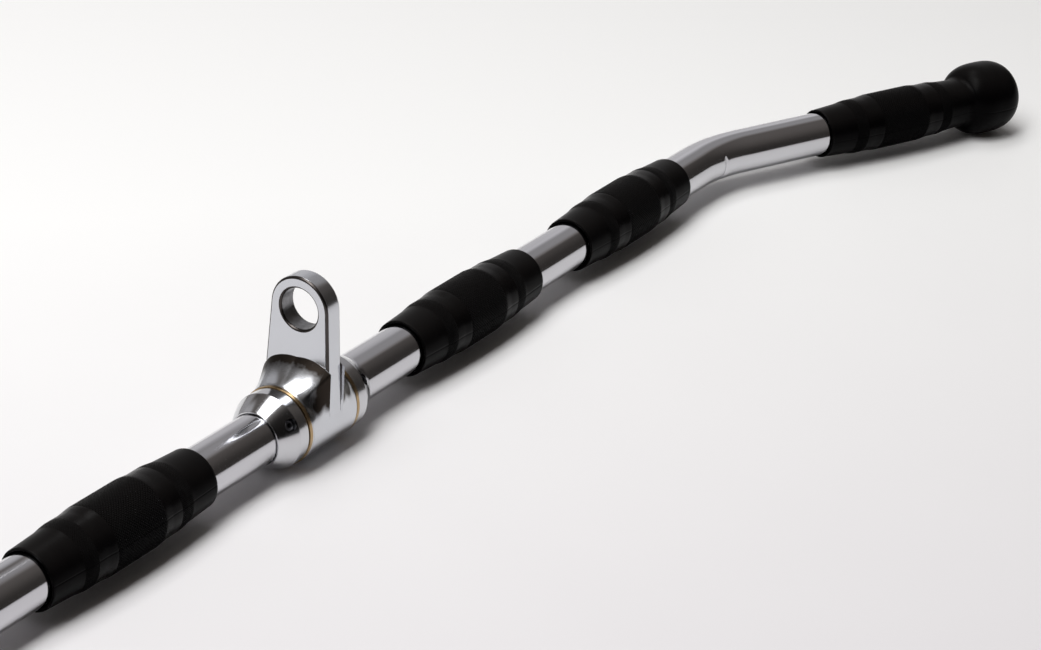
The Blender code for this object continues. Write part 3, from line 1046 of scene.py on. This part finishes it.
@dataclass
class ThrustWasher:
    """The thin brass ring between the hanger and a collar."""

    line: BarLine
    side: Side
    place: float = 0.0175
    thickness: float = 0.0019
    outer: float = 0.0192
    inner: float = 0.0128
    edge_round: float = 0.00025

    def build(self, shelf: FinishShelf) -> None:
        """Build and dress the washer.

        Args:
            shelf: The finishes.
        """
        corners = [(self.inner, 0.0), (self.outer, 0.0), (self.outer, self.thickness),
                   (self.inner, self.thickness)]
        ring = lathe(f"thrust_ring_{self.side.word}", soften(corners, self.edge_round, closed=True), 160)
        hold_flats(ring)
        self.line.lay(ring, self.side.ahead * self.place, self.side.ahead)
        dress(ring, f"washer_{self.side.word}", "brass", shelf.brass)


@dataclass
class LockCollar:
    """A chromed collar with a tapering nose, held by its set screw."""

    line: BarLine
    side: Side
    place: float = 0.0197
    radius: float = 0.0187
    inner: float = 0.0128
    band: float = 0.0066
    step: float = 0.0002
    nose: float = 0.0098
    nose_wall: float = 0.0006
    nose_start: float = math.radians(24.0)
    nose_end: float = math.radians(37.0)
    nose_steps: int = 24
    band_round: float = 0.00022
    tip_round: float = 0.0002
    hole_gap: float = 0.0003
    hole_span: Point2 = (0.03, 0.006)
    screw_place: float = 0.0092
    screw_angle: float = math.radians(59.0)
    screw_radius: float = 0.0025
    screw_length: float = 0.0035
    screw_foot: float = 0.0005
    screw_edge: float = 0.0004
    screw_round: float = 0.0001
    socket_across: float = 0.0025
    socket_depth: float = 0.0018
    socket_point: float = 0.0004
    socket_mouth: tuple[Point2, ...] = ((0.0006, 0.001), (0.0, -0.0002))

    def outline(self) -> list[Point2]:
        """Closed section of the collar: band, groove line, full nose and bore.

        Returns:
            Points of radius and height.
        """
        radius, start = self.radius - self.step, self.band + self.step
        fall = radius - self.inner - self.nose_wall
        low, high = math.cos(self.nose_start), math.cos(self.nose_end)
        near, far = math.sin(self.nose_start), math.sin(self.nose_end)
        nose = []
        for index in range(self.nose_steps + 1):
            turn = self.nose_start + (self.nose_end - self.nose_start) * index / self.nose_steps
            drop = (low - math.cos(turn)) / (low - high)
            along = (math.sin(turn) - near) / (far - near)
            nose.append((radius - fall * drop, start + self.nose * along))
        band = soften([(self.inner, 0.0), (radius, 0.0), (self.radius, self.step * 2),
                       (self.radius, self.band), nose[0], nose[2]], self.band_round)
        tail = soften([nose[-2], nose[-1], (self.inner, start + self.nose)], self.tip_round)
        return band[:-1] + nose[2:-2] + tail

    def build(self, shelf: FinishShelf) -> None:
        """Build and dress the collar and its set screw.

        Args:
            shelf: The finishes.
        """
        ahead = self.side.ahead
        outwards = Vector((0.0, -math.sin(self.screw_angle), math.cos(self.screw_angle)))
        middle = ahead * (self.place + self.screw_place)
        collar = lathe(f"lock_collar_{self.side.word}", self.outline(), 160)
        self.line.lay(collar, ahead * self.place, ahead)
        top, foot = self.hole_span
        wide = self.screw_radius + self.hole_gap
        hole = lathe("hole_tool", [(0.0, top), (wide, top), (wide, foot), (0.0, foot)], 48)
        self.line.lay(hole, middle, outwards)
        cut(collar, hole)
        hold_flats(collar)
        dress(collar, f"collar_{self.side.word}", "cast_chrome", shelf.collar)
        self.build_screw(shelf, middle + outwards * self.inner, outwards)

    def build_screw(self, shelf: FinishShelf, at: Vector, outwards: Vector) -> None:
        """Build and dress the set screw.

        Args:
            shelf: The finishes.
            at: Place of its inner end.
            outwards: Direction in which it points.
        """
        radius, length = self.screw_radius, self.screw_length
        corners = [(0.0, 0.0), (radius - self.screw_foot, 0.0), (radius, self.screw_foot),
                   (radius, length - self.screw_edge), (radius - self.screw_edge, length), (0.0, length)]
        screw = lathe(f"socket_screw_{self.side.word}", soften(corners, self.screw_round, 2), 48)
        self.line.lay(screw, at, outwards)
        corner, bottom = self.socket_across / math.sqrt(3), length - self.socket_depth
        mouth = [(corner + out, length + up) for out, up in self.socket_mouth]
        socket = lathe("socket_tool", [(0.0, mouth[0][1]), *mouth, (corner, bottom),
                                       (0.0, bottom - self.socket_point)], 6)
        self.line.lay(socket, at, outwards)
        cut(screw, socket)
        hold_flats(screw)
        dress(screw, f"set_screw_{self.side.word}", "screw_steel", shelf.screw)


@dataclass
class GripShape:
    """Sizes that the sleeves and the end grips share; levels run from rim to centre."""

    length: float
    thinner: float = 0.0
    tube: float = 0.0125
    bore: float = 0.0128
    levels: tuple[float, ...] = (0.0019, 0.00275, 0.0037, 0.00445)
    first: float = 0.0199
    second: float = 0.0361
    ramp: float = 0.0078
    cuff_end: float = 0.0185
    fine_end: float = 0.0267
    gloss_end: float = 0.0383
    groove: float = 0.00003
    groove_half: float = 0.00025
    cuff_stops: tuple[float, ...] = (0.0012, 0.006, 0.011)
    closest: float = 0.0001
    seam_above: float = 0.0006
    lip: tuple[Point2, ...] = ((0.0, 0.0009), (0.00035, 0.0002), (0.0005, 0.0))
    rim: tuple[Point2, ...] = ((-0.00055, 0.0), (-0.0005, 0.00018), (-0.00035, 0.0002),
                               (-0.00028, 0.00005), (-0.0001, 0.00008), (0.00004, 0.0004))

    def radius(self, place: float) -> float:
        """Outer radius of a grip: a tapering cuff, then two ramps up to the middle.

        Args:
            place: Distance from the nearer end of the full pattern.

        Returns:
            The radius.
        """
        rim, cuff, band, centre = self.levels
        start = self.first - self.ramp / 2
        radius = self.tube - self.thinner + rim + (cuff - rim) * min(place / start, 1.0)
        for middle, step in ((self.first, band - cuff), (self.second, centre - band)):
            share = min(max((place - middle) / self.ramp + 0.5, 0.0), 1.0)
            radius += step * (0.5 * share + 0.5 * share * share * (3 - 2 * share))
        return radius

    def zone(self, place: float) -> int:
        """Surface zone at a distance from the nearer end of the full pattern."""
        ends = ((self.cuff_end, Zone.CUFF), (self.fine_end, Zone.FINE), (self.gloss_end, Zone.GLOSS))
        return next((zone.value for end, zone in ends if place < end), Zone.KNURL.value)

    def outside(self, stop: float) -> tuple[list[Point2], list[int]]:
        """Outside of a grip from its near face upwards.

        Args:
            stop: Height at which it stops; the whole pattern has the grip's length.

        Returns:
            Points of radius and height, and the zone of each segment after its point.
        """
        grooves = (self.cuff_end, self.fine_end, self.gloss_end)
        places = set(self.cuff_stops)
        for groove in grooves:
            places |= {groove - self.groove_half, groove, groove + self.groove_half}
        for middle in (self.first, self.second):
            places |= {middle + self.ramp * step / 8 for step in range(-4, 5)}
        points: list[Point2] = []
        for height in sorted(places | {self.length - place for place in places}):
            if height > stop or (points and height - points[-1][1] < self.closest):
                continue
            place = min(height, self.length - height)
            in_groove = any(abs(place - groove) < self.closest / 100 for groove in grooves)
            points.append((self.radius(place) - (self.groove if in_groove else 0.0), height))
        middles = [(low + high) / 2 for (_, low), (_, high) in zip(points, points[1:] + [(0.0, stop)])]
        return points, [self.zone(min(middle, self.length - middle)) for middle in middles]

    def face(self) -> list[Point2]:
        """Near face from the bore outwards: inner lip, flat ring, fine groove and rounded rim."""
        rim = self.radius(0.0)
        return [(self.bore + out, up) for out, up in self.lip] + [(rim + out, up) for out, up in self.rim]

    def seams(self, degrees: float) -> tuple[Seam, ...]:
        """The two opposite mould lines, at an angle and half a turn on, outside the bore."""
        turns = (math.radians(degrees), math.radians(degrees) + math.pi)
        return tuple(Seam(turn, self.bore + self.seam_above) for turn in turns)


@dataclass
class GripSleeve:
    """A rubber sleeve on the straight part of the bar."""

    line: BarLine
    side: Side
    position: str
    place: float
    mould_turn: float
    shape: GripShape = field(default_factory=lambda: GripShape(0.1088))

    def build(self, shelf: FinishShelf) -> None:
        """Build and dress the sleeve.

        Args:
            shelf: The finishes.
        """
        shape, side = self.shape, self.side
        outside, zones = shape.outside(shape.length)
        near = shape.face()
        far = [(radius, shape.length - height) for radius, height in reversed(near)]
        face = [Zone.FACE.value] * len(near)
        sleeve = lathe(f"sleeve_{self.position}_{side.word}", near + outside + far,
                       zones=face + zones + face, seams=shape.seams(self.mould_turn))
        self.line.lay(sleeve, side.ahead * self.place, side.ahead)
        dress(sleeve, f"grip_{self.position}_{side.word}", "rubber", *shelf.rubber)


@dataclass
class EndGrip:
    """A rubber end grip whose round knob closes the bar."""

    line: BarLine
    side: Side
    mould_turn: float
    shape: GripShape = field(default_factory=lambda: GripShape(0.1118, 0.0003))
    neck: float = 0.0143
    knob_radius: float = 0.02165
    knob_length: float = 0.0417
    squareness: float = 2.93
    knob_centre: float = 0.12935
    knob_steps: int = 96
    fillet: float = 0.003
    fillet_steps: int = 12
    fillet_gap: float = 0.0003
    bore_depth: float = 0.1328

    def other_share(self, share: float) -> float:
        """Share of the knob's half length at a share of its radius, or the other way round."""
        return (1 - share ** self.squareness) ** (1 / self.squareness)

    def knob(self) -> list[Point2]:
        """Side of the knob from the foot of its fillet to the middle of its end.

        Returns:
            Points of radius and height.
        """
        half = self.knob_length / 2
        corner = Vector((self.neck, self.knob_centre - half * self.other_share(self.neck / self.knob_radius)))
        foot = corner - Vector((0.0, self.fillet))
        end = corner.y + self.fillet / 2
        join = Vector((self.knob_radius * self.other_share(abs(end - self.knob_centre) / half), end))
        points = []
        for step in range(self.fillet_steps + 1):
            share = step / self.fillet_steps
            place = foot.lerp(corner, share).lerp(corner.lerp(join, share), share)
            points.append((place.x, place.y))
        for step in range(1, self.knob_steps):
            turn = math.pi * step / self.knob_steps
            across, along = math.sin(turn), -math.cos(turn)
            size = (across ** self.squareness + abs(along) ** self.squareness) ** (-1 / self.squareness)
            height = self.knob_centre + half * along * size
            if height > end + self.fillet_gap:
                points.append((self.knob_radius * across * size, height))
        return points + [(0.0, self.knob_centre + half)]

    def build(self, shelf: FinishShelf, nodes: dict[str, Piece]) -> None:
        """Build and dress the end grip, and dress the plug inside it.

        Args:
            shelf: The finishes.
            nodes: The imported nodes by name.
        """
        shape, side = self.shape, self.side
        outside, zones = shape.outside(shape.length - shape.first + shape.ramp / 2 + shape.closest)
        near = shape.face()
        closing = self.knob() + [(0.0, self.bore_depth), (shape.bore, self.bore_depth)]
        zones = [Zone.FACE.value] * len(near) + zones + [Zone.CUFF.value] * len(closing)
        grip = lathe(f"end_handle_{side.word}", near + outside + closing, zones=zones,
                     seams=shape.seams(self.mould_turn))
        self.line.lay(grip, self.line.on_arm(side, self.line.corner_to_grip),
                      self.line.heading(side, self.line.bend_angle))
        dress(grip, f"end_grip_{side.word}", "rubber", *shelf.rubber)
        dress_packed(nodes[f"end_plug_{side.word}"], shelf.plastic)


# ---------------------------------------------------------------------------
# Studio
# ---------------------------------------------------------------------------


@dataclass(frozen=True)
class Softbox:
    """A flat rectangular lamp of white light."""

    name: str
    place: Point3
    aim: Point3
    width: float
    depth: float
    radiance: float

    def hang(self) -> None:
        """Add the lamp to the scene, aimed at its target."""
        lamp = bpy.data.lights.new(self.name, "AREA")
        lamp.shape = "RECTANGLE"
        lamp.size = self.width
        lamp.size_y = self.depth
        lamp.energy = self.radiance * math.pi * self.width * self.depth
        holder = bpy.data.objects.new(self.name, lamp)
        holder.location = self.place
        away = Vector(self.place) - Vector(self.aim)
        holder.rotation_euler = away.to_track_quat("Z", "Y").to_euler()
        bpy.context.scene.collection.objects.link(holder)


@dataclass(frozen=True)
class Glow:
    """A pale part of the room that the metal mirrors, by its direction in degrees."""

    azimuth: float
    elevation: float
    full: float
    none: float
    level: float
    squeeze: float = 1.0

    def light(self, sheet: NodeSheet, direction: Socket) -> Socket:
        """Level of this glow, squeezed upwards and downwards, in a direction.

        Args:
            sheet: Node sheet of the world.
            direction: The direction's socket.

        Returns:
            The level's socket.
        """
        round_, up = math.radians(self.azimuth), math.radians(self.elevation)
        flat = math.cos(up)
        middle = Vector((flat * math.cos(round_), flat * math.sin(round_), self.squeeze * math.sin(up)))
        squeezed = sheet.add("VectorMath", direction, (1.0, 1.0, self.squeeze), operation="MULTIPLY")
        unit = sheet.add("VectorMath", squeezed.outputs[0], operation="NORMALIZE")
        nearness = sheet.add("VectorMath", unit.outputs[0], middle.normalized(), operation="DOT_PRODUCT")
        limits = [math.cos(math.radians(degrees)) for degrees in (self.none, self.full)]
        return sheet.ramp(nearness.outputs["Value"], *limits, 0.0, self.level)


@dataclass
class Studio:
    """The pale floor, the surroundings, the lamps and the camera."""

    floor_reach: float = 14.0
    floor_drop: float = 0.0002
    # Floor tones from front to back: painted light, darker in front where less lamp light falls.
    floor_near: Colour = (0.755, 0.735, 0.752)
    floor_far: Colour = (0.965, 0.965, 0.960)
    floor_slope: Point2 = (0.66, 0.75)
    floor_shade: Point2 = (-0.27, 0.31)
    floor_cloud: float = 0.03
    base: Point2 = (0.045, 0.16)
    base_rise: Point2 = (0.2, 1.0)
    front_share: float = 0.12
    front_edge: Point2 = (-0.6, 0.0)
    front_guard: Point2 = (0.05, 0.3)
    dim_tone: Colour = (1.0, 0.90, 0.83)
    pale_tone: Colour = (1.0, 0.985, 1.0)
    tone_levels: Point2 = (0.06, 0.45)
    glows: tuple[Glow, ...] = (
        Glow(32.0, 6.0, 14.0, 33.0, 0.62),
        Glow(10.0, 36.0, 9.0, 24.0, 0.26),
        Glow(76.0, 10.0, 6.0, 20.0, 0.36),
        Glow(93.0, 30.0, 5.0, 18.0, 0.42),
        Glow(145.0, 0.0, 26.0, 46.0, 0.85, 3.5),
        Glow(-150.0, 0.0, 6.0, 18.0, 0.50, 2.5),
    )
    lamps: tuple[Softbox, ...] = (
        Softbox("key_softbox", (-1.43, 0.14, 2.6), (-1.43, 0.14, 0.0), 3.38, 0.83, 8.1),
        Softbox("back_softbox", (-0.55, 0.95, 2.6), (-0.55, 0.95, 0.0), 3.0, 0.78, 2.9),
        Softbox("fill_softbox", (1.4, 0.9, 2.8), (0.6, 0.4, 0.0), 0.9, 0.9, 3.4),
    )
    camera_place: Point3 = (-0.940237, -0.610368, 0.622123)
    camera_turn: Point3 = (1.119836, -0.066472, -1.016647)
    camera_lens: float = 36.0 * 2800.0 / 1041.0

    def lay_floor(self) -> None:
        """Lay the plain pale floor, a little paler towards the back: painted light, where the lamps' light
        falls off towards the front.
        """
        sheet = NodeSheet(bpy.data.materials.new("studio_floor"))
        places = [sheet.product(place, slope)
                  for place, slope in zip(sheet.split(sheet.own_place()), self.floor_slope)]
        cloud = sheet.spread(sheet.grain(9.0), -self.floor_cloud, self.floor_cloud)
        place = sheet.math("ADD", sheet.math("ADD", *places), cloud)
        share = sheet.ramp(place, *self.floor_shade, easing="LINEAR")
        work = bmesh.new()
        bmesh.ops.create_grid(work, x_segments=8, y_segments=8, size=self.floor_reach)
        floor = mesh_object("studio_floor", work)
        floor.location = (0.0, 0.0, -self.floor_drop)
        paint(floor, sheet.coat(roughness=0.85, specular_ior_level=0.15,
                                base_color=sheet.blend(share, self.floor_near, self.floor_far)))

    def surround(self) -> None:
        """Set the surroundings: white to the eye, and a real studio in the metal."""
        bpy.context.scene.world = bpy.data.worlds.new("studio")
        sheet = NodeSheet(bpy.context.scene.world)
        direction = sheet.add("TexCoord").outputs["Generated"]
        along, across, up = sheet.split(direction)
        front = sheet.math("MAXIMUM", sheet.ramp(across, *self.front_edge, self.front_share, 1.0),
                           sheet.ramp(along, *self.front_guard))
        level = sheet.product(sheet.ramp(up, *self.base_rise, *self.base), front)
        for glow in self.glows:
            level = sheet.math("ADD", level, glow.light(sheet, direction))
        tone = sheet.blend(sheet.ramp(level, *self.tone_levels), self.dim_tone, self.pale_tone)
        room = sheet.add("Background", tone, level)
        seen = sheet.add("Background", (1.0, 1.0, 1.0), 1.0)
        to_camera = sheet.add("LightPath").outputs["Is Camera Ray"]
        mixed = sheet.add("MixShader", to_camera, room.outputs[0], seen.outputs[0])
        sheet.add("OutputWorld", mixed.outputs[0])

    def set_camera(self) -> None:
        """Place the camera where the photograph was taken from."""
        lens = bpy.data.cameras.new("camera")
        lens.lens = self.camera_lens
        lens.sensor_width = 36.0
        lens.clip_start = 0.01
        lens.clip_end = 60.0
        camera = bpy.data.objects.new("camera", lens)
        camera.location = self.camera_place
        camera.rotation_euler = self.camera_turn
        bpy.context.scene.collection.objects.link(camera)
        bpy.context.scene.camera = camera

    def build(self) -> None:
        """Build the whole studio."""
        bpy.context.scene.view_settings.view_transform = "Standard"
        self.lay_floor()
        self.surround()
        for lamp in self.lamps:
            lamp.hang()
        self.set_camera()
        LOG.info("built the studio")


def main() -> None:
    """Build and dress the bar, piece by piece, and set the studio round it."""
    logging.basicConfig(level=logging.INFO, format="%(name)s: %(message)s")
    for spare in list(bpy.data.objects):
        bpy.data.objects.remove(spare, do_unlink=True)
    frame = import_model()
    nodes = frame["nodes"]
    shelf = FinishShelf()
    line = BarLine()
    BarTube(line).build(shelf)
    HangerCasting(line).build(shelf, nodes)
    for side in Side:
        ThrustWasher(line, side).build(shelf)
        LockCollar(line, side).build(shelf)
        GripSleeve(line, side, "inner", 0.0820, -92.0 if side is Side.RIGHT else 84.0).build(shelf)
        GripSleeve(line, side, "outer", 0.2400, -side.value * 90.0).build(shelf)
        EndGrip(line, side, -side.value * 95.0).build(shelf, nodes)
    Studio().build()


if __name__ == "__main__":
    main()
